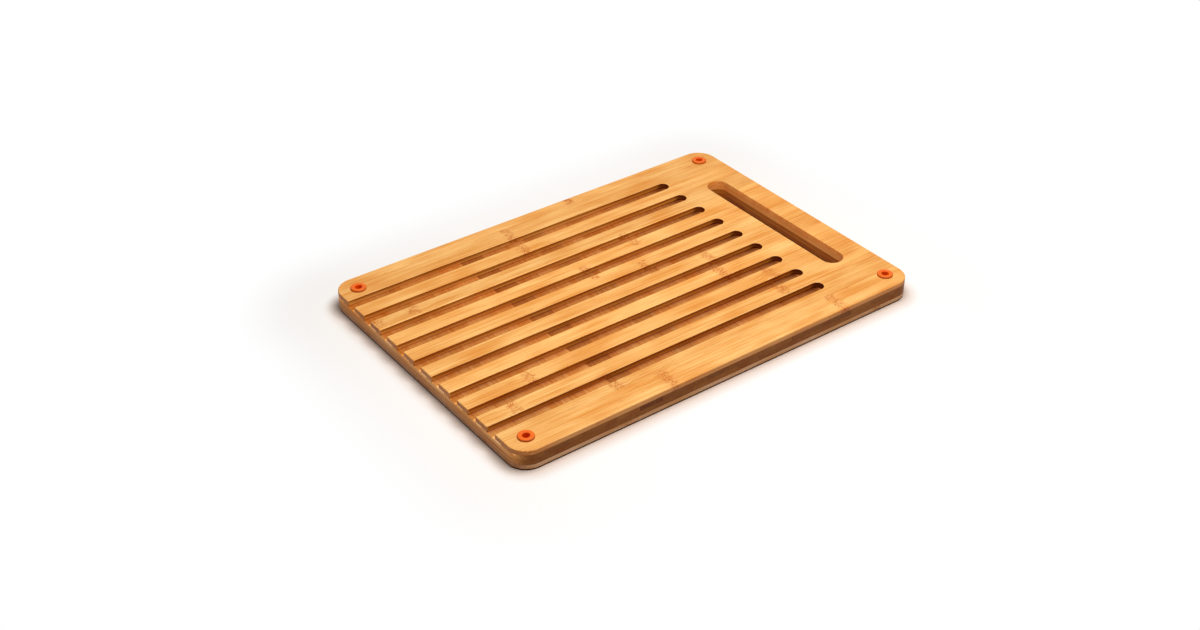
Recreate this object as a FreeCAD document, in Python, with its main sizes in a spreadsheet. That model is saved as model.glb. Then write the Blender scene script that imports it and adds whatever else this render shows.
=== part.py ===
import FreeCAD, Part
import math
import os

import Sketcher
from FreeCAD import Vector

# Bread board of bamboo strips, glued in four plies that lie crosswise to each other.
# X runs along the board towards its grip slot, Y from the front edge to the back one, Z up.
# The origin lies on the table under the middle of the board, which stands on the
# lower flanges of four silicone eyelets, one in each corner.

# Driving dimensions in millimetres, with what each one measures.
SIZES = [
    ("board_length", 400.0, "whole board along X"),
    ("board_width", 280.0, "whole board along Y"),
    ("face_thick", 4.0, "upper and lower face ply, strips along X"),
    ("core_thick", 4.5, "each of the two core plies, strips along Y"),
    ("corner_radius", 17.0, "corner of the outline"),
    ("edge_radius", 0.8, "rounding of the outline's upper and lower edge"),
    ("face_strip_width", 22.4, "strip of a face ply"),
    ("lower_face_first", 11.2, "first strip of the lower face, at the front edge"),
    ("core_strip_width", 21.9, "strip of a core ply"),
    ("lower_core_first", 8.9, "first strip of the lower core, at the left end"),
    ("groove_width", 10.8, "between the walls of a crumb groove"),
    ("slat_width", 15.1, "wood left between two grooves"),
    ("groove_depth", 5.0, "through the upper face and into the core"),
    ("groove_end_inset", 69.0, "from the right end to the grooves' round ends"),
    ("groove_edge_radius", 0.35, "easing of a groove's mouth"),
    ("back_rail_width", 29.3, "from the back edge to the first groove"),
    ("slot_width", 20.0, "grip slot along X"),
    ("slot_length", 170.0, "grip slot along Y, over its round ends"),
    ("slot_inset", 23.3, "from the right end to the grip slot"),
    ("slot_edge_radius", 0.5, "easing of the grip slot's edges"),
    ("eyelet_inset", 17.0, "from both edges to an eyelet's axis"),
    ("eyelet_hole", 6.0, "open hole through the eyelet"),
    ("eyelet_wall", 1.35, "wall of the eyelet's sleeve"),
    ("eyelet_clearance", 0.15, "between the sleeve and the wood"),
    ("flange_lip", 2.2, "how far a flange covers the wood around the bore"),
    ("foot_thick", 1.1, "lower flange, below the wood"),
    ("flange_thick", 1.7, "upper flange, above the wood"),
    ("flange_rim_radius", 0.5, "rounding of a flange's outer rim"),
    ("hole_rim_radius", 0.35, "rounding of the eyelet's hole at both ends"),
]

THICKNESS = "(2 * Sizes.face_thick + 2 * Sizes.core_thick)"
GROOVE_FLOOR = THICKNESS + " - Sizes.groove_depth"
GROOVE_PITCH = "(Sizes.groove_width + Sizes.slat_width)"
GROOVE_RADIUS = "Sizes.groove_width / 2"
GROOVE_ROUND = "Sizes.board_length / 2 - Sizes.groove_end_inset - " + GROOVE_RADIUS
FIRST_GROOVE = "Sizes.board_width / 2 - Sizes.back_rail_width - " + GROOVE_RADIUS
SLOT_RADIUS = "Sizes.slot_width / 2"
SLOT_PLACE = "Sizes.board_length / 2 - Sizes.slot_inset - " + SLOT_RADIUS
HOLE_RADIUS = "Sizes.eyelet_hole / 2"
SLEEVE_RADIUS = HOLE_RADIUS + " + Sizes.eyelet_wall"
BORE_RADIUS = SLEEVE_RADIUS + " + Sizes.eyelet_clearance"
FLANGE_RADIUS = BORE_RADIUS + " + Sizes.flange_lip"
EYELET_ALONG = "Sizes.board_length / 2 - Sizes.eyelet_inset"
EYELET_ACROSS = "Sizes.board_width / 2 - Sizes.eyelet_inset"

# Cutters and strip blanks pass the board by its own thickness.
LEFT_OF_BOARD = "-Sizes.board_length / 2 - " + THICKNESS
RIGHT_OF_BOARD = "Sizes.board_length / 2 + " + THICKNESS
BEFORE_BOARD = "-Sizes.board_width / 2 - " + THICKNESS
BEHIND_BOARD = "Sizes.board_width / 2 + " + THICKNESS

# The limits of the plies above the table, from below to above the board.
LEVELS = ["Sizes.foot_thick - " + THICKNESS, "Sizes.foot_thick + Sizes.face_thick"]
LEVELS.append(LEVELS[-1] + " + Sizes.core_thick")
LEVELS.append(LEVELS[-1] + " + Sizes.core_thick")
LEVELS.append(LEVELS[-1] + " + " + THICKNESS)

# Each corner's side of the board, along X and along Y.
CORNERS = {
    "front_left": (-1, -1),
    "front_right": (1, -1),
    "back_left": (-1, 1),
    "back_right": (1, 1),
}

# A sketch's own cross, and the points of a line or arc in it, which count from 1.
CROSS = -1
START, END, CENTRE = range(1, 4)

# Two lengths closer than this are the same.
SAME = 0.001

doc = FreeCAD.newDocument("BreadBoard")
sheet = doc.addObject("Spreadsheet::Sheet", "Sizes")
for row, (alias, value, meaning) in enumerate(SIZES, start=1):
    sheet.set(f"A{row}", alias)
    sheet.set(f"B{row}", str(value))
    sheet.set(f"C{row}", meaning)
    sheet.setAlias(f"B{row}", alias)
doc.recompute()


def value_of(expression):
    return float(sheet.evalExpression(expression))


def groove_count():
    """As many grooves as leave the front rail wide enough for its eyelets."""
    front_rail = "(Sizes.eyelet_inset + " + FLANGE_RADIUS + ")"
    room = f"Sizes.board_width - Sizes.back_rail_width - {front_rail} + Sizes.slat_width"
    return math.floor(value_of(f"({room}) / {GROOVE_PITCH}"))


def new_sketch(body, name, role, level="0"):
    """A sketch on a plane of the body's own origin, raised to a level."""
    sketch = body.newObject("Sketcher::SketchObject", name)
    plane = next(item for item in body.Origin.OriginFeatures if item.Role == role)
    sketch.AttachmentSupport = [(plane, "")]
    sketch.MapMode = "FlatFace"
    sketch.setExpression("AttachmentOffset.Base.z", level)
    return sketch


def bind(sketch, name, expression, kind, *places):
    """A named dimension of the sketch that follows the sheet."""
    number = sketch.addConstraint(Sketcher.Constraint(kind, *places, value_of(expression)))
    sketch.renameConstraint(number, name)
    sketch.setExpression("Constraints." + name, expression)


def join(sketch, kind, *meetings):
    """Ends that meet, each meeting given as a piece and its point, twice."""
    for meeting in meetings:
        sketch.addConstraint(Sketcher.Constraint(kind, *meeting))


def line(sketch, start, end, direction=None):
    piece = sketch.addGeometry(Part.LineSegment(Vector(*start), Vector(*end)), False)
    if direction:
        sketch.addConstraint(Sketcher.Constraint(direction, piece))
    return piece


def half_round(sketch, centre, radius, first_angle):
    """An arc of half a turn, counter-clockwise from its first angle."""
    circle = Part.Circle(Vector(*centre), Vector(0, 0, 1), radius)
    return sketch.addGeometry(Part.ArcOfCircle(circle, first_angle, first_angle + math.pi), False)


def cut_through(body, name, sketch):
    pocket = body.newObject("PartDesign::Pocket", name)
    pocket.Profile = sketch
    pocket.Type = "ThroughAll"
    return pocket


def round_edges(body, name, feature, wanted, radius):
    """A fillet on the edges whose boxes are wanted."""
    doc.recompute()
    edges = enumerate(feature.Shape.Edges, start=1)
    fillet = body.newObject("PartDesign::Fillet", name)
    fillet.Base = (feature, [f"Edge{number}" for number, edge in edges if wanted(edge.BoundBox)])
    fillet.setExpression("Radius", radius)
    return fillet


def board_outline(body):
    """A rectangle about the origin."""
    half_x = value_of("Sizes.board_length / 2")
    half_y = value_of("Sizes.board_width / 2")
    sketch = new_sketch(body, "outline", "XY_Plane")
    front = line(sketch, (-half_x, -half_y), (half_x, -half_y), "Horizontal")
    right = line(sketch, (half_x, -half_y), (half_x, half_y), "Vertical")
    back = line(sketch, (half_x, half_y), (-half_x, half_y), "Horizontal")
    left = line(sketch, (-half_x, half_y), (-half_x, -half_y), "Vertical")
    join(sketch, "Coincident", (front, END, right, START), (right, END, back, START))
    join(sketch, "Coincident", (back, END, left, START), (left, END, front, START))
    join(sketch, "Symmetric", (front, START, right, END, CROSS, START))
    bind(sketch, "length", "Sizes.board_length", "DistanceX", front, START, front, END)
    bind(sketch, "width", "Sizes.board_width", "DistanceY", right, START, right, END)
    return sketch


def groove_outline(body):
    """The first groove from above: open past the left end, half round at the right."""
    middle = value_of(FIRST_GROOVE)
    radius = value_of(GROOVE_RADIUS)
    open_x = value_of(LEFT_OF_BOARD)
    round_x = value_of(GROOVE_ROUND)
    sketch = new_sketch(body, "groove_outline", "XY_Plane", THICKNESS)
    near = line(sketch, (open_x, middle - radius), (round_x, middle - radius), "Horizontal")
    closed = half_round(sketch, (round_x, middle), radius, -math.pi / 2)
    far = line(sketch, (round_x, middle + radius), (open_x, middle + radius), "Horizontal")
    left = line(sketch, (open_x, middle + radius), (open_x, middle - radius), "Vertical")
    join(sketch, "Tangent", (near, END, closed, START), (closed, END, far, START))
    join(sketch, "Coincident", (far, END, left, START), (left, END, near, START))
    bind(sketch, "radius", GROOVE_RADIUS, "Radius", closed)
    bind(sketch, "round_x", GROOVE_ROUND, "DistanceX", CROSS, START, closed, CENTRE)
    bind(sketch, "middle", FIRST_GROOVE, "DistanceY", CROSS, START, closed, CENTRE)
    bind(sketch, "open_x", LEFT_OF_BOARD, "DistanceX", CROSS, START, left, START)
    return sketch


def slot_outline(body):
    """The grip slot from above: two straight sides along Y and two half rounds."""
    place = value_of(SLOT_PLACE)
    radius = value_of(SLOT_RADIUS)
    reach = value_of("Sizes.slot_length / 2") - radius
    sketch = new_sketch(body, "slot_outline", "XY_Plane", THICKNESS)
    right = line(sketch, (place + radius, -reach), (place + radius, reach), "Vertical")
    back = half_round(sketch, (place, reach), radius, 0)
    left = line(sketch, (place - radius, reach), (place - radius, -reach))
    front = half_round(sketch, (place, -reach), radius, math.pi)
    join(sketch, "Tangent", (right, END, back, START), (back, END, left, START))
    join(sketch, "Tangent", (left, END, front, START), (front, END, right, START))
    join(sketch, "Symmetric", (back, CENTRE, front, CENTRE, CROSS))
    bind(sketch, "radius", SLOT_RADIUS, "Radius", back)
    bind(sketch, "place", SLOT_PLACE, "DistanceX", CROSS, START, back, CENTRE)
    bind(sketch, "reach", "Sizes.slot_length - Sizes.slot_width", "DistanceY", front, CENTRE, back, CENTRE)
    return sketch


def bore_circles(body):
    """A circle for the eyelet in each corner."""
    along = value_of(EYELET_ALONG)
    across = value_of(EYELET_ACROSS)
    radius = value_of(BORE_RADIUS)
    sketch = new_sketch(body, "bore_circles", "XY_Plane", THICKNESS)
    for corner, (side_x, side_y) in CORNERS.items():
        centre = Vector(side_x * along, side_y * across, 0)
        circle = sketch.addGeometry(Part.Circle(centre, Vector(0, 0, 1), radius), False)
        place = (CROSS, START, circle, CENTRE)
        bind(sketch, corner + "_x", f"{side_x} * ({EYELET_ALONG})", "DistanceX", *place)
        bind(sketch, corner + "_y", f"{side_y} * ({EYELET_ACROSS})", "DistanceY", *place)
        bind(sketch, corner + "_bore", BORE_RADIUS, "Radius", circle)
    return sketch


def step_profile(sketch, uprights, levels):
    """A closed profile of upright and level lines in turn, each with its own dimension."""
    xs = [value_of(place) for place in uprights]
    ys = [value_of(place) for place in levels]
    count = len(xs)
    for turn in range(count):
        corner = (xs[turn], ys[turn])
        upright = line(sketch, (xs[turn], ys[turn - 1]), corner, "Vertical")
        level = line(sketch, corner, (xs[(turn + 1) % count], ys[turn]), "Horizontal")
        bind(sketch, f"upright{turn}", uprights[turn], "DistanceX", CROSS, START, upright, START)
        bind(sketch, f"level{turn}", levels[turn], "DistanceY", CROSS, START, level, START)
    pieces = 2 * count
    for number in range(pieces):
        join(sketch, "Coincident", (number, END, (number + 1) % pieces, START))


def glued_blank(body):
    """The plies glued together and cut to the rounded outline."""
    thickness = value_of(THICKNESS)
    pad = body.newObject("PartDesign::Pad", "glued_plies")
    pad.Profile = board_outline(body)
    pad.setExpression("Length", THICKNESS)

    def upright(box):
        return box.ZLength > thickness - SAME

    def level(box):
        return box.ZLength < SAME

    corners = round_edges(body, "round_corners", pad, upright, "Sizes.corner_radius")
    round_edges(body, "round_outline", corners, level, "Sizes.edge_radius")


def grip_slot(body):
    """A slot right through the board, for the fingers."""
    slot = cut_through(body, "grip_slot", slot_outline(body))
    left = value_of(SLOT_PLACE + " - " + SLOT_RADIUS)
    right = value_of(SLOT_PLACE + " + " + SLOT_RADIUS)

    def rim(box):
        on_a_face = box.ZLength < SAME < box.YLength
        return on_a_face and box.XMin > left - SAME and box.XMax < right + SAME

    round_edges(body, "ease_slot", slot, rim, "Sizes.slot_edge_radius")


def crumb_grooves(body):
    """Grooves along the board, from the back rail towards the front one."""
    count = groove_count()
    first = body.newObject("PartDesign::Pocket", "first_groove")
    first.Profile = groove_outline(body)
    first.setExpression("Length", "Sizes.groove_depth")
    grooves = body.newObject("PartDesign::LinearPattern", "crumb_grooves")
    grooves.Originals = [first]
    grooves.Direction = (first.Profile[0], ["V_Axis"])
    grooves.Reversed = True
    grooves.Occurrences = count
    grooves.setExpression("Length", f"{count - 1} * {GROOVE_PITCH}")
    body.Tip = grooves

    radius = value_of(GROOVE_RADIUS)
    floor = value_of(GROOVE_FLOOR)
    left_end = value_of("-Sizes.board_length / 2")
    round_x = value_of(GROOVE_ROUND)
    middles = [value_of(f"{FIRST_GROOVE} - {turn} * {GROOVE_PITCH}") for turn in range(count)]

    def mouth(box):
        """Along both walls and down them at the left end, and round the closed end."""
        if box.ZMin < floor - SAME or box.ZMax < floor + SAME:
            return False
        from_wall = min(abs(abs(box.Center.y - middle) - radius) for middle in middles)
        along_wall = box.YLength < SAME and from_wall < SAME
        smooth_joint = box.XLength < SAME and box.XMin > left_end + SAME
        in_round_end = box.XMin > round_x - SAME and box.XMax < round_x + radius + SAME
        round_rim = in_round_end and box.ZLength < SAME < box.YLength
        return round_rim or (along_wall and not smooth_joint)

    round_edges(body, "ease_grooves", grooves, mouth, "Sizes.groove_edge_radius")


def machined_board():
    """The whole glued board with all its cuts, lifted off the table by the eyelets."""
    body = doc.addObject("PartDesign::Body", "machined_board")
    glued_blank(body)
    grip_slot(body)
    crumb_grooves(body)
    doc.recompute()
    cut_through(body, "eyelet_bores", bore_circles(body))
    body.setExpression("Placement.Base.z", "Sizes.foot_thick")
    doc.recompute()
    return body


def eyelet(name, side_x, side_y):
    """A push-in eyelet: a sleeve through the board between two flanges."""
    under = "Sizes.foot_thick"
    over = under + " + " + THICKNESS
    top = over + " + Sizes.flange_thick"
    body = doc.addObject("PartDesign::Body", name)
    sketch = new_sketch(body, name + "_section", "XZ_Plane")
    uprights = (HOLE_RADIUS, FLANGE_RADIUS, SLEEVE_RADIUS, FLANGE_RADIUS)
    step_profile(sketch, uprights, ("0", under, over, top))
    turned = body.newObject("PartDesign::Revolution", name + "_turned")
    turned.Profile = sketch
    turned.ReferenceAxis = (sketch, ["V_Axis"])

    hole = value_of(HOLE_RADIUS)
    flange = value_of(FLANGE_RADIUS)
    height = value_of(top)

    def outermost(box):
        return box.ZLength < SAME and (box.ZMin < SAME or box.ZMax > height - SAME)

    def outer_rim(box):
        return outermost(box) and box.XMax > flange - SAME

    def hole_rim(box):
        return outermost(box) and box.XMax < hole + SAME

    rims = round_edges(body, name + "_rims", turned, outer_rim, "Sizes.flange_rim_radius")
    round_edges(body, name + "_mouths", rims, hole_rim, "Sizes.hole_rim_radius")
    body.setExpression("Placement.Base.x", f"{side_x} * ({EYELET_ALONG})")
    body.setExpression("Placement.Base.y", f"{side_y} * ({EYELET_ACROSS})")
    return body


def between(name, whole, along_x, along_y, upright):
    """What lies of a board or ply between two places on each axis."""
    room = doc.addObject("Part::Box", "room_for_" + name)
    spans = (("Length", "x", along_x), ("Width", "y", along_y), ("Height", "z", upright))
    for size, axis, (low, high) in spans:
        room.setExpression(size, f"({high}) - ({low})")
        room.setExpression("Placement.Base." + axis, low)
    piece = doc.addObject("Part::Common", name)
    piece.Base = whole
    piece.Tool = room
    return piece


def seams(low_end, high_end, across, strip, first):
    """Where the strips of a ply meet, between a place past each end of it."""
    inner = math.ceil(value_of(f"({across} - {first}) / {strip}") - SAME)
    places = [f"-{across} / 2 + {first} + {turn} * {strip}" for turn in range(inner)]
    return [low_end, *places, high_end]


def face_strips(name, board, levels, first):
    """The strips of a face ply, numbered from the front edge."""
    along = (LEFT_OF_BOARD, RIGHT_OF_BOARD)
    ply = between(name + "_ply", board, along, (BEFORE_BOARD, BEHIND_BOARD), levels)
    places = seams(BEFORE_BOARD, BEHIND_BOARD, "Sizes.board_width", "Sizes.face_strip_width", first)
    return [
        between(f"{name}_strip_{number:02d}", ply, along, pair, levels)
        for number, pair in enumerate(zip(places, places[1:]), start=1)
    ]


def core_strips(name, board, levels, first):
    """The strips of a core ply, numbered from the left end."""
    across = (BEFORE_BOARD, BEHIND_BOARD)
    ply = between(name + "_ply", board, (LEFT_OF_BOARD, RIGHT_OF_BOARD), across, levels)
    places = seams(LEFT_OF_BOARD, RIGHT_OF_BOARD, "Sizes.board_length", "Sizes.core_strip_width", first)
    return [
        between(f"{name}_strip_{number:02d}", ply, pair, across, levels)
        for number, pair in enumerate(zip(places, places[1:]), start=1)
    ]


def grouped(name, pieces):
    group = doc.addObject("Part::Compound", name)
    group.Links = pieces
    return group


def check_all(pieces):
    for item in doc.Objects:
        if "Invalid" in item.State or "Error" in item.State:
            raise RuntimeError(f"{item.Label} failed: {item.State}")
    for piece in pieces:
        if piece.Shape.isNull() or not piece.Shape.isValid() or not piece.Shape.Solids:
            raise RuntimeError(f"{piece.Label} has no good solid")


board = machined_board()
under_levels, lower_levels, upper_levels, over_levels = zip(LEVELS, LEVELS[1:])

upper_face = face_strips("upper_face", board, over_levels, "Sizes.face_strip_width")
upper_core = core_strips("upper_core", board, upper_levels, "Sizes.core_strip_width")
lower_core = core_strips("lower_core", board, lower_levels, "Sizes.lower_core_first")
lower_face = face_strips("lower_face", board, under_levels, "Sizes.lower_face_first")
eyelets = [eyelet("eyelet_" + corner, *sides) for corner, sides in CORNERS.items()]
wood = [*upper_face, *upper_core, *lower_core, grouped("lower_face_strips", lower_face)]
parts = wood + eyelets

doc.recompute()
check_all(parts)
strip_volume = sum(piece.Shape.Volume for piece in wood)
print(f"{len(parts)} nodes, strips {strip_volume:.1f} mm3, board {board.Shape.Volume:.1f} mm3")

os.makedirs("parts", exist_ok=True)
for piece in parts:
    piece.Shape.exportStep(f"parts/{piece.Label}.step")
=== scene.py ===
import math
from functools import partial
from types import SimpleNamespace

import bpy
import numpy as np
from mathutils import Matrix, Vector


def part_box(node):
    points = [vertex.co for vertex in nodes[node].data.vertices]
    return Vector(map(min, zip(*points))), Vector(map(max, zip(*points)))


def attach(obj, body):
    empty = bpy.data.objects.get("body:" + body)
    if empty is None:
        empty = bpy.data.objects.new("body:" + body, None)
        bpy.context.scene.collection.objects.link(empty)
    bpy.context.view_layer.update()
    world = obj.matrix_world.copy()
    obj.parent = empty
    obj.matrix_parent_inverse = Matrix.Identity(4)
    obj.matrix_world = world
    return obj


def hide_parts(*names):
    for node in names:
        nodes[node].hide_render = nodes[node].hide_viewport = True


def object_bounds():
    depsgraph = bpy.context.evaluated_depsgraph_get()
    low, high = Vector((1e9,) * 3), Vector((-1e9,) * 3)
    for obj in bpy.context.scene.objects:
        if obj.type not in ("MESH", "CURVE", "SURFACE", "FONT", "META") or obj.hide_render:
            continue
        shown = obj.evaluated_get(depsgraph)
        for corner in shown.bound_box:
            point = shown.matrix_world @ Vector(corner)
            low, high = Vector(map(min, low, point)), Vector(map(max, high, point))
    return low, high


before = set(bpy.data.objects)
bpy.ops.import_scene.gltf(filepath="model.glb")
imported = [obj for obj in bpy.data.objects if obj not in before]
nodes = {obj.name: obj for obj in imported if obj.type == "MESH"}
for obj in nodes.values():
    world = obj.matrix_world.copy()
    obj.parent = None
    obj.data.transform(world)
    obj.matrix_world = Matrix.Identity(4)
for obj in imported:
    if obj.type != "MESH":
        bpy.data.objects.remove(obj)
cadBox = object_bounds()
mm = 0.001
smooth = "SMOOTHSTEP"

# Levels of the plies and the pitch of their strips, read from the frame, in millimetres.
faceLow, faceHigh = (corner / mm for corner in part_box("upper_face_strip_02"))
aboveJoints = ("upper_face_strip_02", "upper_core_strip_02", "lower_core_strip_02")
board = {
    "top": faceHigh.z,
    "bottom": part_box("lower_face_strips")[0].z / mm,
    "joints": [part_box(name)[0].z / mm for name in aboveJoints],  # the three glue lines between the plies
    "faceStrip": faceHigh.y - faceLow.y,
    "front": cadBox[0].y / mm,
    "left": cadBox[0].x / mm,
    "right": cadBox[1].x / mm,
    "floor": 13.1,  # the crumb grooves' floor
    "corner": 17.0,  # the corners' radius
    "grooveMiddle": 105.3,  # the rearmost groove's middle line along Y
    "groovePitch": 25.9,
}
print("frame read:", len(nodes), "nodes")


def linear(code):
    channels = [int(code[place:place + 2], 16) / 255 for place in (1, 3, 5)]
    curved = [c / 12.92 if c <= 0.04045 else ((c + 0.055) / 1.055) ** 2.4 for c in channels]
    return (*curved, 1.0)


def newMaterial(name):
    material = bpy.data.materials.new(name)
    material.use_nodes = True
    material.node_tree.nodes.clear()
    return material, partial(addNode, material.node_tree)


# Adds a node with its settings, and links or sets its inputs by name or by place among those in use.
def addNode(tree, kind, inputs=None, **settings):
    node = tree.nodes.new("ShaderNode" + kind)
    for name, value in settings.items():
        setattr(node, name, value)
    usable = [socket for socket in node.inputs if socket.enabled]
    for place, value in (inputs or {}).items():
        socket = usable[place] if isinstance(place, int) else next(s for s in usable if s.name == place)
        if isinstance(value, bpy.types.Node):
            value = next(output for output in value.outputs if output.enabled)
        if isinstance(value, bpy.types.NodeSocket):
            tree.links.new(value, socket)
        else:
            socket.default_value = value
    return node


# A span as a MapRange node's inputs, which then gives 0 at the span's first value and 1 at its second.
def over(span):
    return {1: span[0], 2: span[1]}


# Camera: a 36 mm sensor, placed so that the board's edges and grooves fall where the photograph has them.
cameraPlan = {
    "place": (-0.6962, -0.9055, 0.7617), "aim": (-0.02944, -0.00759, 0.0), "lens": 48.87,
    "shift": (-0.5 / 1200, 0.25 / 1200),  # a part of a pixel to the right and down
    "reach": 20,
}


def makeCamera():
    camera = bpy.data.objects.new("camera", bpy.data.cameras.new("camera"))
    camera.location = cameraPlan["place"]
    looking = Vector(cameraPlan["aim"]) - Vector(cameraPlan["place"])
    camera.rotation_euler = looking.to_track_quat("-Z", "Y").to_euler()
    camera.data.lens = cameraPlan["lens"]
    camera.data.shift_x, camera.data.shift_y = cameraPlan["shift"]
    camera.data.clip_end = cameraPlan["reach"]
    bpy.context.scene.collection.objects.link(camera)
    bpy.context.scene.camera = camera
    bpy.context.scene.view_settings.view_transform = "Standard"


makeCamera()
print("camera set")


# Light: one round softbox close above the front edge, a little towards the grip slot, and a dim pale room.
lightPlan = {
    "keyPlace": (0.06, -0.19, 1.07), "keySize": 0.76, "keyPower": 14.0,
    "room": 0.22,
}


def makeLights():
    key = bpy.data.lights.new("softKey", "AREA")
    key.shape = "DISK"
    key.size = lightPlan["keySize"]
    key.energy = lightPlan["keyPower"]
    lamp = bpy.data.objects.new("softKey", key)
    lamp.location = lightPlan["keyPlace"]
    lamp.rotation_euler = (-Vector(lightPlan["keyPlace"])).to_track_quat("-Z", "Y").to_euler()
    bpy.context.scene.collection.objects.link(lamp)

    world = bpy.data.worlds.new("paleRoom")
    world.use_nodes = True
    world.node_tree.nodes.clear()
    add = partial(addNode, world.node_tree)
    rays = add("LightPath").outputs
    seen = add("Math", {0: rays["Is Camera Ray"], 1: rays["Is Glossy Ray"]}, operation="MAXIMUM")
    seen = add("Math", {0: seen, 1: rays["Is Transmission Ray"]}, operation="MAXIMUM")
    room = add("Background", {"Color": (1, 1, 1, 1), "Strength": lightPlan["room"]})
    white = add("Background", {"Color": (1, 1, 1, 1), "Strength": 1.0})
    mixed = add("MixShader", {0: seen, 1: room, 2: white})
    add("OutputWorld", {"Surface": mixed})
    bpy.context.scene.world = world


# How far a point lies beyond the board's rounded outline, in millimetres; inside it is negative:
# length(max(|x| - a, 0), max(|y| - b, 0)) - r, where a and b reach to the corners' centres.
def beyondOutline(add, place):
    toCentres = (board["corner"] - board["right"], board["corner"] + board["front"], -1000)
    reach = add("VectorMath", {0: place}, operation="ABSOLUTE")
    reach = add("VectorMath", {0: reach, 1: toCentres}, operation="ADD")
    reach = add("VectorMath", {0: reach, 1: (0, 0, 0)}, operation="MAXIMUM")
    reach = add("VectorMath", {0: reach, 1: (1, 1, 0)}, operation="MULTIPLY")
    length = add("VectorMath", {0: reach}, operation="LENGTH")
    return add("Math", {0: length, 1: board["corner"]}, operation="SUBTRACT")


# Floor: a white table, with a painted warm shade close to the board standing in for the shadow and the colour
# the board throws on it. Farther out the camera sees it as white as the room, as in an overexposed studio
# picture.
floorPlan = {
    "half": 4.0, "colour": "#E9E6E3", "lift": 0.025,
    "paintedWarmShade": (0.8, 0.68, 0.6), "paintedWarmShadeSpan": (16, 0.0),
    "shade": (0.36, 0.25, 0.17), "shadeSpan": (0.0, -0.9),  # under the edge, where little light gets in
    "deep": (1.3, 0.55, 0.1), "paintedSlotShadeSpan": (-3.0, -8.0),  # painted warm shade on the table seen through the slot, where light comes off the wood
    "whiteSpan": (25, 90),
}


def tableMaterial():
    material, add = newMaterial("whiteTable")
    place = add("VectorMath", {0: add("TexCoord").outputs["Object"], 1: (1 / mm,) * 3}, operation="MULTIPLY")
    away = beyondOutline(add, place)
    near = add("MapRange", {0: away, **over(floorPlan["paintedWarmShadeSpan"])}, interpolation_type=smooth)
    under = add("MapRange", {0: away, **over(floorPlan["shadeSpan"])}, interpolation_type=smooth)
    # Painted shade on the table seen through the slot.
    deep = add("MapRange", {0: away, **over(floorPlan["paintedSlotShadeSpan"])})
    far = add("MapRange", {0: away, **over(floorPlan["whiteSpan"])}, interpolation_type=smooth)

    # The painted warm shade near the board, which all rays meet.
    colour = add("Mix", {0: near, 1: (1, 1, 1, 1), 2: (*floorPlan["paintedWarmShade"], 1)}, data_type="RGBA")
    colour = add("Mix", {0: 1.0, 1: colour, 2: linear(floorPlan["colour"])},
                 data_type="RGBA", blend_type="MULTIPLY")
    shaded = colour
    # Painted shade under the board's edge and through the slot, seen only by the camera.
    for amount, tint in ((under, floorPlan["shade"]), (deep, floorPlan["deep"])):
        shaded = add("Mix", {0: amount, 1: shaded, 2: (*tint, 1)}, data_type="RGBA", blend_type="MULTIPLY")

    # What the camera sees carries the painted shade under the board and through the slot, is lifted a little
    # and goes over to white; all other rays meet the table without that painted shade.
    lift = add("MapRange", {0: under, 3: floorPlan["lift"], 4: 0.0})
    lift = add("Emission", {"Color": (1, 1, 1, 1), "Strength": lift})
    lifted = add("AddShader", {0: add("BsdfDiffuse", {"Color": shaded}), 1: lift})
    white = add("Emission", {"Color": (1, 1, 1, 1), "Strength": 1.0})
    seen = add("MixShader", {0: far, 1: lifted, 2: white})
    plain = add("BsdfDiffuse", {"Color": colour})
    mixed = add("MixShader", {0: add("LightPath").outputs["Is Camera Ray"], 1: plain, 2: seen})
    add("OutputMaterial", {"Surface": mixed})
    return material


def makeFloor():
    half = floorPlan["half"]
    corners = [(-half, -half, 0), (half, -half, 0), (half, half, 0), (-half, half, 0)]
    mesh = bpy.data.meshes.new("table")
    mesh.from_pydata(corners, [], [(0, 1, 2, 3)])
    mesh.materials.append(tableMaterial())
    table = bpy.data.objects.new("table", mesh)
    bpy.context.scene.collection.objects.link(table)


makeLights()
makeFloor()
print("light and floor made")


# Bamboo: strips of the stem's wall, carbonised by steam to caramel, planed, glued and oiled.
# To the eye: fine straight fibres along the strip, broad soft streaks between them, reddish crosswise
# figures where the stem had its nodes, and a much darker face where the fibres are cut across.
# A pattern's size is its length along the strip and its width across it, in millimetres.
bamboo = {
    "pale": "#ECB66C", "deep": "#D18430", "vein": "#9A571E", "node": "#BA6520", "glue": "#6B3C1E",
    "fibre": (80, 0.9), "fibreSwing": 2.1,  # real bundles are half as wide
    "streak": (150, 6.0), "streakSwing": (0.55, 0.22),
    "patch": (45, 18), "patchSwing": 1.5,
    "dash": (7, 0.7), "dashSpan": (0.6, 0.75), "dashDepth": 0.3,
    "figure": (4.4, 3.4), "figureLines": 24.0,  # the small arcs of a node mark
    "figureSpan": (-0.2, 0.85), "figureDepth": (0.2, 0.9),
    "markSpan": (6.5, 2.0),  # a node mark's half length along the strip, and where it is full
    "ragged": (6, 3.5), "raggedBy": 12.0,  # how its ends run in and out
    "markPitch": 260,  # from mark to mark on the underside, where each strip starts anew
    "bendSpan": (26, 0.0), "bend": (14, 9), "bendBy": 9.0,  # how the fibres bend round a mark
    "seedJump": (97.3, 31.7, 11.9),  # how far a seed of 1 moves a strip in the pattern
    "stripJump": (300, 90, 60),  # and how far apart the underside's strips lie in it at most
    "glueSpan": (0.32, 0.2), "glueDepth": 0.3, "seamSpan": (0.25, 0.0), "seamDepth": 0.5,
    "roughness": 0.5, "roughSwing": 0.2, "relief": 0.05,
    "sheen": {"face": 0.2, "core": 0.1, "under": 0.1},  # cut fibres drink the oil and stay matt
}
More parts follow.
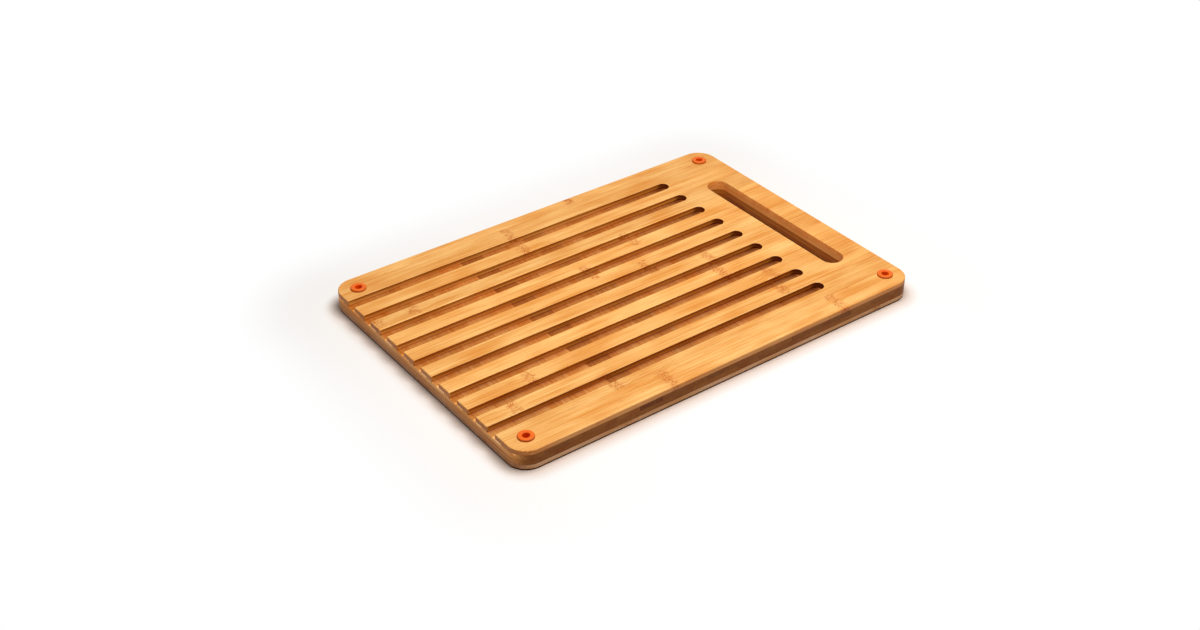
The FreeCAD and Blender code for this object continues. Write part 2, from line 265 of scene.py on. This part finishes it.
# Machined faces by place, as factors on the wood's colour. These are deeper and redder than the planed top,
# partly as the cut wood's own colour and partly as painted shade and light, which darkens the grooves'
# corners, rims, front and right end.
machined = {
    "cutEnd": {"face": (0.87, 0.8, 0.82), "core": (0.41, 0.335, 0.23), "under": (0.79, 0.7, 0.72)},
    "edge": (0.725, 0.585, 0.53),  # painted shade on the upright faces and rounded edges of the upper face ply
    "coreSide": (1.06, 1.12, 1.5), "coreSideHigh": (1.33, 1.48, 1.55),  # the outermost core strips' sides
    "underEdge": (0.96, 1.05, 1.28),
    "wallShadeFront": (0.955, 0.77, 0.23), "wallShadeBack": (1.26, 1.31, 0.73),  # the grooves' walls, on top of that: partly their wood, partly painted shade, deeper at the front
    "wallFootLight": (1.35, 1.6, 2.4), "wallBrowShade": (0.62, 0.43, 0.14),  # and again, from the floor up to the rim: painted light at the foot, painted shade at the rim
    # painted shade on the grooves' walls and their feet towards the right end
    "wallRightShade": (0.92, 0.78, 0.5), "footRightShade": (0.95, 0.75, 0.35),
    "floorShadeFront": (0.96, 0.96, 1.0), "floorShadeBack": (0.82, 0.69, 0.51),  # the grooves' floors at the left end, partly their wood, partly painted shade
    "floorShadeRight": (0.82, 0.75, 0.8), "floorShadowBehind": (0.75, 0.63, 0.52),  # at the right, partly painted shade, and a painted shadow by the far wall there
    # painted shade on the floor's far side by the grooves' round ends
    "floorTipShade": (0.5, 0.36, 0.22),
    "cornerShadeFront": (0.72, 0.6, 0.58), "cornerShadeBack": (1, 0.96, 0.9),  # painted shade on a groove's floor along its walls
    "seam": (0.6, 0.45, 0.36),
    "floorEndHighlight": (1.75, 2.1, 2.8),  # painted highlight where a groove's floor breaks off at the left end, on the side where its edge catches the light
    "tipScorchAndShade": (0.35, 0.2, 0.12),  # the grooves' round ends: scorch where the cutter stood still, and painted shade
    # painted light on the grip slot's upper wall; below the middle glue line the slot's wall is darker
    "slotFaceLight": (1.34, 1.17, 1.05), "slotCoreLight": (1.57, 1.63, 1.65), "slotLow": (0.68, 0.57, 0.21),
    "slotUnder": (0.63, 0.36, 0.04),
    "grip": (0.97, 0.91, 0.8),  # painted shade: the top darker and redder at the grip slot's end, where the light falls off
}
# Where the masks of these places run from 0 to 1, in millimetres.
spans = {
    "inOutline": (-0.9, -1.2), "aboveFoot": (2.2, 2.4),  # these two leave out the board's eased edges
    "beyondGrooves": (140, 141), "grip": (150, 185), "tipScorchAndShade": (121, 128),  # along X
    "wallRightShade": (20, 120), "floorLong": (board["left"], 120), "floorShadeRight": (0, 110), "floorTipShade": (112, 129),
    "leftEnd": (board["left"] + 3.5, board["left"] + 1.2),
    "wallDeep": (-100, 110), "floorDeep": (-60, 90),  # along Y
    "behind": (-2.5, 4.5), "litSide": (-0.5, -2.5), "byWall": (1.0, 5.4),  # from a groove's middle line
    "lowCore": (board["joints"][1] + 0.3, board["joints"][1] - 0.3),  # up
    "wallHigh": (board["joints"][0], board["top"] - 0.8),
    "atFloor": (board["floor"] - 0.8, board["floor"] - 0.2),
}
# The same for how much a face points along one axis, from 0 to 1.
turned = {"upright": (0.7, 0.3), "rounded": (0.98, 0.5), "steep": (0.97, 0.7), "across": (0.35, 0.95)}


# One strip's own pattern coordinates in millimetres, along (u), across (v) and up (w) the strip. The
# seed moves them, so that no two strips share a grain. In a node of many strips, scattered from a first
# edge at a pitch, each is moved once more by its number, floor((y - first) / pitch).
def stripCoordinates(add, place, axes, kind, seed, scatter):
    strip = place
    if kind == "core":
        strip = add("Mapping", {0: place, "Rotation": (0, 0, -math.pi / 2)})
    move = [seed * part for part in bamboo["seedJump"]]
    own = add("VectorMath", {0: strip, 1: move}, operation="ADD")
    if scatter:
        first, pitch = scatter
        number = add("Math", {0: axes["Y"], 1: first}, operation="SUBTRACT")
        number = add("Math", {0: number, 1: pitch}, operation="DIVIDE")
        number = add("Math", {0: number}, operation="FLOOR")
        chance = add("TexWhiteNoise", {"W": number}, noise_dimensions="1D")
        jump = add("VectorMath", {0: chance.outputs["Color"], 1: bamboo["stripJump"]}, operation="MULTIPLY")
        own = add("VectorMath", {0: own, 1: jump}, operation="ADD")
        strip = own
    return strip, own


# A noise stretched along the strip gives lines on its sides and dots on its ends, as cut fibres do.
def stretched(add, own, size, detail):
    long, wide = size
    scaled = add("VectorMath", {0: own, 1: (1 / long, 1 / wide, 1 / wide)}, operation="MULTIPLY")
    return add("TexNoise", {0: scaled, "Scale": 1.0, "Detail": detail, "Roughness": 0.6})


# How near a point is to one of a strip's node marks, 1 on it: in a band with ragged ends, and in a
# wider one where the fibres bend round it.
def nodeMarks(add, strip, own, marks, scatter):
    by, half = bamboo["raggedBy"], bamboo["markPitch"] / 2
    ragged = stretched(add, own, bamboo["ragged"], 2.0)
    ragged = add("Math", {0: ragged, 1: by, 2: -by / 2}, operation="MULTIPLY_ADD")
    along = add("Math", {0: add("SeparateXYZ", {0: strip}).outputs["X"], 1: ragged}, operation="ADD")
    if scatter:
        along = add("Math", {0: along, 1: -half, 2: half}, operation="WRAP")
    bands = []
    for span in (bamboo["markSpan"], bamboo["bendSpan"]):
        band = None
        for mark in marks:
            away = add("Math", {0: along, 1: mark}, operation="SUBTRACT")
            away = add("Math", {0: away}, operation="ABSOLUTE")
            near = add("MapRange", {0: away, **over(span)}, interpolation_type=smooth)
            band = near if band is None else add("Math", {0: band, 1: near}, operation="MAXIMUM")
        bands.append(band)
    return bands


# A strip's wood as planed: fibres, streaks and patches swing it between the pale and the deep colour.
def plainWood(add, strip, own, marks, scatter):
    if marks:
        onMark, nearMark = nodeMarks(add, strip, own, marks, scatter)
        sway = add("Math", {0: stretched(add, own, bamboo["bend"], 1.0), 1: 0.5}, operation="SUBTRACT")
        sway = add("Math", {0: sway, 1: nearMark}, operation="MULTIPLY")
        sway = add("Math", {0: sway, 1: bamboo["bendBy"]}, operation="MULTIPLY")
        own = add("VectorMath", {0: own, 1: add("CombineXYZ", {"Y": sway})}, operation="ADD")

    fibres = stretched(add, own, bamboo["fibre"], 2.0)
    swing = bamboo["fibreSwing"]
    fine = add("Math", {0: fibres, 1: swing, 2: -swing / 2}, operation="MULTIPLY_ADD")
    broad = stretched(add, own, bamboo["streak"], 1.0)
    swing, rest = bamboo["streakSwing"]
    broad = add("Math", {0: broad, 1: swing, 2: rest}, operation="MULTIPLY_ADD")
    soft = stretched(add, own, bamboo["patch"], 1.0)
    swing = bamboo["patchSwing"]
    soft = add("Math", {0: soft, 1: swing, 2: -swing / 2}, operation="MULTIPLY_ADD")
    depth = add("Math", {0: fine, 1: broad}, operation="ADD")
    depth = add("Math", {0: depth, 1: soft}, operation="ADD", use_clamp=True)
    wood = add("Mix", {0: depth, 1: linear(bamboo["pale"]), 2: linear(bamboo["deep"])}, data_type="RGBA")

    dashes = stretched(add, own, bamboo["dash"], 1.0)
    dashes = add("MapRange", {0: dashes, **over(bamboo["dashSpan"]), 4: bamboo["dashDepth"]})
    wood = add("Mix", {0: dashes, 1: wood, 2: linear(bamboo["vein"])}, data_type="RGBA")
    if marks:
        # Level lines of a noise, sin(k n), draw the small arcs.
        faint, full = bamboo["figureDepth"]
        arcs = stretched(add, own, bamboo["figure"], 1.0)
        arcs = add("Math", {0: arcs, 1: bamboo["figureLines"]}, operation="MULTIPLY")
        arcs = add("Math", {0: arcs}, operation="SINE")
        arcs = add("MapRange", {0: arcs, **over(bamboo["figureSpan"]), 3: faint, 4: full})
        arcs = add("Math", {0: arcs, 1: onMark}, operation="MULTIPLY")
        wood = add("Mix", {0: arcs, 1: wood, 2: linear(bamboo["node"])}, data_type="RGBA")
    return wood, fibres


# Where on the board a point lies, as masks from 0 to 1.
def boardMasks(add, coords, place, axes, kind):
    facing = add("VectorMath", {0: coords.outputs["Normal"]}, operation="ABSOLUTE")
    facing = add("SeparateXYZ", {0: facing}).outputs
    upright = add("MapRange", {0: facing["Z"], **over(turned["upright"])})
    fibreWay = facing["Y" if kind == "core" else "X"]
    cutEnd = add("MapRange", {0: fibreWay, **over(turned["across"])}, interpolation_type=smooth)
    inOutline = add("MapRange", {0: beyondOutline(add, place), **over(spans["inOutline"])})
    aboveFoot = add("MapRange", {0: axes["Z"], **over(spans["aboveFoot"])})
    inside = add("Math", {0: inOutline, 1: aboveFoot}, operation="MULTIPLY")
    beyondGrooves = add("MapRange", {0: axes["X"], **over(spans["beyondGrooves"])})
    inSlot = add("Math", {0: beyondGrooves, 1: inside}, operation="MULTIPLY")
    inSlot = add("Math", {0: inSlot, 1: upright}, operation="MULTIPLY")
    inGroove = add("Math", {0: inside, 1: inSlot}, operation="SUBTRACT", use_clamp=True)
    outside = add("Math", {0: 1.0, 1: inside}, operation="SUBTRACT")
    return SimpleNamespace(facing=facing, upright=upright, cutEnd=cutEnd, inOutline=inOutline,
                           beyondGrooves=beyondGrooves, inSlot=inSlot, inGroove=inGroove, outside=outside)


# The tints of the machined faces, ply by ply: each a colour, or a blend of two, and the masks it needs.
def faceTints(add, axes, at):
    # The grooves' walls: partly their wood, partly painted shade that deepens towards the front.
    toBack = add("MapRange", {0: axes["Y"], **over(spans["wallDeep"])})
    wallColourAndShade = add("Mix", {0: toBack, 1: (*machined["wallShadeFront"], 1), 2: (*machined["wallShadeBack"], 1)},
               data_type="RGBA")
    # Painted light at a groove wall's foot and painted shade at its rim.
    height = add("MapRange", {0: axes["Z"], **over(spans["wallHigh"])})
    wallLightAndShade = add("Mix", {0: height, 1: (*machined["wallFootLight"], 1), 2: (*machined["wallBrowShade"], 1)},
                data_type="RGBA")
    notSlot = add("Math", {0: 1.0, 1: at.inSlot}, operation="SUBTRACT")
    rounded = add("MapRange", {0: at.facing["Z"], **over(turned["rounded"])})
    atRight = add("MapRange", {0: axes["X"], **over(spans["wallRightShade"])})
    atRightEnd = add("MapRange", {0: axes["X"], **over(spans["grip"])}, interpolation_type=smooth)
    return [
        (machined["cutEnd"]["face"], at.cutEnd, notSlot),
        # Painted shade on the face ply's upright faces and rounded edges.
        (machined["edge"], rounded, notSlot),
        (wallColourAndShade, at.upright, at.inGroove),
        (machined["wallRightShade"], at.upright, at.inGroove, atRight),
        (wallLightAndShade, at.upright, at.inGroove),
        (machined["slotFaceLight"], at.inSlot),
        (machined["grip"], atRightEnd),
    ]


# The grooves' middle lines lie one pitch apart, so y - y0 folded into half a pitch gives the distance
# from the nearest, above zero behind it.
def coreTints(add, axes, at):
    half = board["groovePitch"] / 2
    middle = add("Math", {0: axes["Y"], 1: board["grooveMiddle"]}, operation="SUBTRACT")
    middle = add("Math", {0: middle, 1: -half, 2: half}, operation="WRAP")
    behind = add("MapRange", {0: middle, **over(spans["behind"])}, interpolation_type=smooth)
    litSide = add("MapRange", {0: middle, **over(spans["litSide"])}, interpolation_type=smooth)
    middle = add("Math", {0: middle}, operation="ABSOLUTE")
    byWall = add("MapRange", {0: middle, **over(spans["byWall"])}, interpolation_type=smooth)

    toBack = add("MapRange", {0: axes["Y"], **over(spans["floorDeep"])})
    toRight = add("MapRange", {0: axes["X"], **over(spans["floorLong"])})
    # The floor's tint: partly the core's wood, partly painted shade by place.
    floor = add("Mix", {0: toBack, 1: (*machined["floorShadeFront"], 1), 2: (*machined["floorShadeBack"], 1)},
                data_type="RGBA")
    floor = add("Mix", {0: toRight, 1: floor, 2: (*machined["floorShadeRight"], 1)}, data_type="RGBA")
    # Painted shade on the floor along the walls, stronger at the front grooves.
    corner = add("Mix", {0: toBack, 1: (*machined["cornerShadeFront"], 1), 2: (*machined["cornerShadeBack"], 1)},
                 data_type="RGBA")

    low = add("MapRange", {0: axes["Z"], **over(spans["lowCore"])})
    high = add("Math", {0: 1.0, 1: low}, operation="SUBTRACT")
    sideways = add("MapRange", {0: at.facing["X"], **over(turned["across"])}, interpolation_type=smooth)
    atRight = add("MapRange", {0: axes["X"], **over(spans["floorShadeRight"])})
    atTip = add("MapRange", {0: axes["X"], **over(spans["floorTipShade"])}, interpolation_type=smooth)
    leftEnd = add("MapRange", {0: axes["X"], **over(spans["leftEnd"])})
    atFloor = add("MapRange", {0: axes["Z"], **over(spans["atFloor"])})
    return [
        (machined["cutEnd"]["core"], at.cutEnd, at.outside),
        (machined["coreSide"], sideways, at.outside),
        (machined["coreSideHigh"], sideways, at.outside, high),
        (floor, at.inGroove),
        (machined["floorShadowBehind"], behind, atRight, at.inGroove),
        (machined["floorTipShade"], behind, atTip, at.inGroove),
        (machined["footRightShade"], at.upright, atRight, at.inGroove),
        (corner, byWall, at.inGroove),
        # Painted light at the foot of the grooves' walls.
        (machined["wallFootLight"], at.upright, at.inGroove),
        # Painted highlight on one side of each groove floor's end at the left.
        (machined["floorEndHighlight"], litSide, leftEnd, atFloor),
        (machined["slotCoreLight"], high, at.inSlot),
        (machined["slotLow"], low, at.inSlot),
    ]


def underTints(add, axes, at):
    steep = add("MapRange", {0: at.facing["Z"], **over(turned["steep"])})  # takes in the slot's eased edge
    return [
        (machined["cutEnd"]["under"], at.cutEnd),
        (machined["underEdge"], at.upright, at.outside),
        (machined["slotUnder"], steep, at.beyondGrooves, at.inOutline),
    ]


# The seams on a face ply's flat side. |y - first| folded into half a strip is the distance from one.
def seamTint(add, axes, at, first):
    half = board["faceStrip"] / 2
    seam = add("Math", {0: axes["Y"], 1: first}, operation="SUBTRACT")
    seam = add("Math", {0: seam, 1: -half, 2: half}, operation="WRAP")
    seam = add("Math", {0: seam}, operation="ABSOLUTE")
    seam = add("MapRange", {0: seam, **over(bamboo["seamSpan"]), 4: bamboo["seamDepth"]})
    flat = add("Math", {0: 1.0, 1: at.upright}, operation="SUBTRACT")
    return machined["seam"], seam, flat


# Each tint multiplies the wood by its colour as far as all of its masks reach.
def tinted(add, wood, tints):
    for colour, amount, *masks in tints:
        for mask in masks:
            amount = add("Math", {0: amount, 1: mask}, operation="MULTIPLY")
        if not isinstance(colour, bpy.types.Node):
            colour = (*colour, 1)
        wood = add("Mix", {0: amount, 1: wood, 2: colour}, data_type="RGBA", blend_type="MULTIPLY")
    return wood


# The glue lines between the plies, on the board's edges.
def glued(add, wood, axes, at):
    for joint in board["joints"]:
        away = add("Math", {0: axes["Z"], 1: joint}, operation="SUBTRACT")
        away = add("Math", {0: away}, operation="ABSOLUTE")
        line = add("MapRange", {0: away, **over(bamboo["glueSpan"]), 4: bamboo["glueDepth"]})
        line = add("Math", {0: line, 1: at.outside}, operation="MULTIPLY")
        line = add("Math", {0: line, 1: at.upright}, operation="MULTIPLY")
        wood = add("Mix", {0: line, 1: wood, 2: linear(bamboo["glue"])}, data_type="RGBA")
    return wood


# The bamboo of one strip, or of a node of scattered strips.
def bambooMaterial(name, kind, seed, tone, marks=(), scatter=None):
    material, add = newMaterial(name)
    coords = add("TexCoord")
    place = add("VectorMath", {0: coords.outputs["Object"], 1: (1 / mm,) * 3}, operation="MULTIPLY")
    axes = add("SeparateXYZ", {0: place}).outputs
    strip, own = stripCoordinates(add, place, axes, kind, seed, scatter)
    wood, fibres = plainWood(add, strip, own, marks, scatter)

    at = boardMasks(add, coords, place, axes, kind)
    tints = {"face": faceTints, "core": coreTints, "under": underTints}[kind](add, axes, at)
    if kind != "core":
        tints.append(seamTint(add, axes, at, scatter[0] if scatter else board["front"]))
    # Scorch and painted shade on the grooves' round ends.
    tipScorchAndShade = add("MapRange", {0: axes["X"], **over(spans["tipScorchAndShade"])}, interpolation_type=smooth)
    tints.append((machined["tipScorchAndShade"], tipScorchAndShade, at.inGroove, at.upright))
    wood = glued(add, tinted(add, wood, tints), axes, at)
    wood = add("Mix", {0: 1.0, 1: wood, 2: (*tone, 1)}, data_type="RGBA", blend_type="MULTIPLY")

    swing = bamboo["roughSwing"]
    rough = add("Math", {0: fibres, 1: swing, 2: bamboo["roughness"] - swing / 2}, operation="MULTIPLY_ADD")
    relief = add("Bump", {"Strength": 0.25, "Distance": bamboo["relief"] * mm, "Height": fibres})
    shader = add("BsdfPrincipled", {"Base Color": wood, "Roughness": rough, "Normal": relief, "IOR": 1.5,
                                    "Specular IOR Level": bamboo["sheen"][kind]})
    add("OutputMaterial", {"Surface": shader})
    return material


# What each upper face strip shows, from the front edge: its node marks along X and its tone.
faceLook = {
    "marks": {1: (-55.5, 122), 2: (-92,), 3: (-170, 98.7), 4: (-140, 108), 5: (75.8,), 6: (82,), 7: (30,),
              8: (-15,), 9: (45,), 10: (-163.5, -195.5), 11: (-37.8,), 12: (-34.8,), 13: (39.8,)},
    "toneSpread": 0.05,
}
# Upper core strips from the left end, as the grooves' floors show them: the sixth is the darkest.
coreLook = {
    "tones": {2: 0.82, 3: 0.97, 4: 0.97, 6: (0.62, 0.5, 0.39), 7: (0.93, 0.85, 0.78), 8: 1.04, 9: 0.82,
              11: 0.93, 14: 0.9, 15: 0.82},
    "toneSpread": 0.1, "tone": (0.74, 0.6, 0.52),
}
underLook = {"marks": (0,), "tone": (0.78, 0.82, 1.3), "firstSeam": board["front"] - board["faceStrip"] / 2}


def paintWood():
    chance = np.random.default_rng(7)
    for name in sorted(nodes):
        seed = chance.uniform(0, 9)
        if name.startswith("upper_face"):
            number = int(name[-2:])
            tone = np.full(3, 1 - faceLook["toneSpread"] * chance.uniform(-1, 1))
            material = bambooMaterial(f"caramelBamboo{number:02d}", "face", seed, tone,
                                      faceLook["marks"][number])
        elif "_core_" in name:
            number = int(name[-2:])
            tone = np.array(coreLook["tone"]) * (1 - coreLook["toneSpread"] * chance.uniform(-1, 1))
            if name.startswith("upper"):
                tone = tone * np.array(coreLook["tones"].get(number, 1))
            material = bambooMaterial(f"{name[:5]}CoreBamboo{number:02d}", "core", seed, tone)
        elif name == "lower_face_strips":
            scatter = (underLook["firstSeam"], board["faceStrip"])
            material = bambooMaterial("undersideBamboo", "under", seed, underLook["tone"],
                                      underLook["marks"], scatter)
        else:
            continue
        nodes[name].material_slots[0].material = material


paintWood()
print("bamboo painted")


# Eyelets: moulded silicone. To the eye: an even, slightly waxy orange with soft highlights, with painted
# shade that makes it redder in the hole and deeper on the flange's side.
eyeletPlan = {
    "axis": (183, 123), "hole": 3.0, "sleeve": 4.35, "flange": 6.7,
    "rim": 0.9, "mouth": 0.8, "land": 0.5, "crown": 0.15, "undercut": 0.12, "turns": 64,
    "colour": "#E26410", "cloud": 2.5, "cloudSwing": (0.94, 1.04), "grit": 0.4, "relief": 0.02,
    "inside": (1.2, 0.78, 0.45), "insideSpan": (3.35, 3.0),  # painted shade in the hole; the spans run from the axis outwards
    # painted shade on the flange's side
    "side": (0.62, 0.66, 0.35), "sideSpan": (5.9, 6.4),
}


def siliconeMaterial():
    plan = eyeletPlan
    material, add = newMaterial("orangeSilicone")
    place = add("TexCoord").outputs["Object"]
    cloud = add("TexNoise", {"Vector": place, "Scale": 1 / (plan["cloud"] * mm), "Detail": 2.0})
    faint, full = plan["cloudSwing"]
    cloud = add("MapRange", {0: cloud, 3: faint, 4: full})
    colour = add("Mix", {0: 1.0, 1: linear(plan["colour"]), 2: cloud},
                 data_type="RGBA", blend_type="MULTIPLY")
    # The distance from the nearest eyelet's axis: sqrt((|x| - a)^2 + (|y| - b)^2), in millimetres.
    reach = add("VectorMath", {0: place, 1: (1 / mm,) * 3}, operation="MULTIPLY")
    reach = add("VectorMath", {0: reach}, operation="ABSOLUTE")
    reach = add("VectorMath", {0: reach, 1: (*plan["axis"], 0)}, operation="SUBTRACT")
    reach = add("VectorMath", {0: reach, 1: (1, 1, 0)}, operation="MULTIPLY")
    reach = add("VectorMath", {0: reach}, operation="LENGTH")
    # Painted shade in the hole and on the flange's side.
    for part in ("inside", "side"):
        amount = add("MapRange", {0: reach.outputs["Value"], **over(plan[part + "Span"])})
        colour = add("Mix", {0: amount, 1: colour, 2: (*plan[part], 1)},
                     data_type="RGBA", blend_type="MULTIPLY")
    grit = add("TexNoise", {"Vector": place, "Scale": 1 / (plan["grit"] * mm), "Detail": 2.0})
    relief = add("Bump", {"Strength": 0.2, "Distance": plan["relief"] * mm, "Height": grit})
    shader = add("BsdfPrincipled", {
        "Base Color": colour, "Roughness": 0.42, "IOR": 1.41, "Specular IOR Level": 0.25, "Normal": relief,
        "Subsurface Weight": 0.1, "Subsurface Radius": (1.0, 0.35, 0.1), "Subsurface Scale": 0.8 * mm})
    add("OutputMaterial", {"Surface": shader})
    return material


# An arc's points (r, z) from one angle to another, in degrees.
def arc(centre, radius, start, end, steps=9):
    turn = np.radians(np.linspace(start, end, steps))
    return np.column_stack([centre[0] + radius * np.cos(turn), centre[1] + radius * np.sin(turn)])


# A flange's section from the hole out and back to the sleeve, between its crest and the wood.
def flangeSection(crest, wood):
    plan = eyeletPlan
    mouth, rim, undercut = plan["mouth"], plan["rim"], plan["undercut"]
    return np.vstack([
        arc((plan["hole"] + mouth, crest - mouth), mouth, 180, 90),
        [(plan["hole"] + mouth + plan["land"], crest)],
        arc((plan["flange"] - rim, crest - plan["crown"] - rim), rim, 90, 0),
        [(plan["flange"], wood + undercut), (plan["flange"] - undercut, wood), (plan["sleeve"], wood)],
    ])


# The eyelet is its half section, a closed loop of points (r, z), carried round its axis:
# x = r cos t, y = r sin t, z = z. The lower flange is built like the upper one and turned over.
def makeEyelet(name, node, material):
    low, high = (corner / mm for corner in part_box(node))
    centre = (low + high) / 2
    lower = flangeSection(-low.z, -board["bottom"])[::-1] * (1, -1)
    section = np.vstack([flangeSection(high.z, board["top"]), lower])
    turn = np.linspace(0, 2 * np.pi, eyeletPlan["turns"], endpoint=False)[:, None]
    points = np.stack([
        centre.x + section[:, 0] * np.cos(turn),
        centre.y + section[:, 0] * np.sin(turn),
        np.broadcast_to(section[:, 1], (len(turn), len(section))),
    ], axis=-1).reshape(-1, 3) * mm
    around, along = np.indices((len(turn), len(section))).reshape(2, -1)
    nextRound, nextAlong = (around + 1) % len(turn), (along + 1) % len(section)
    rows = np.column_stack([around, around, nextRound, nextRound])
    faces = rows * len(section) + np.column_stack([along, nextAlong, nextAlong, along])
    mesh = bpy.data.meshes.new(name)
    mesh.from_pydata(points, [], faces)
    mesh.materials.append(material)
    mesh.shade_smooth()
    piece = bpy.data.objects.new(name, mesh)
    bpy.context.scene.collection.objects.link(piece)
    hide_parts(node)
    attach(piece, "root")


silicone = siliconeMaterial()
for side in ("front_left", "front_right", "back_left", "back_right"):
    makeEyelet("silicone_eyelet_" + side, "eyelet_" + side, silicone)
print("eyelets made")
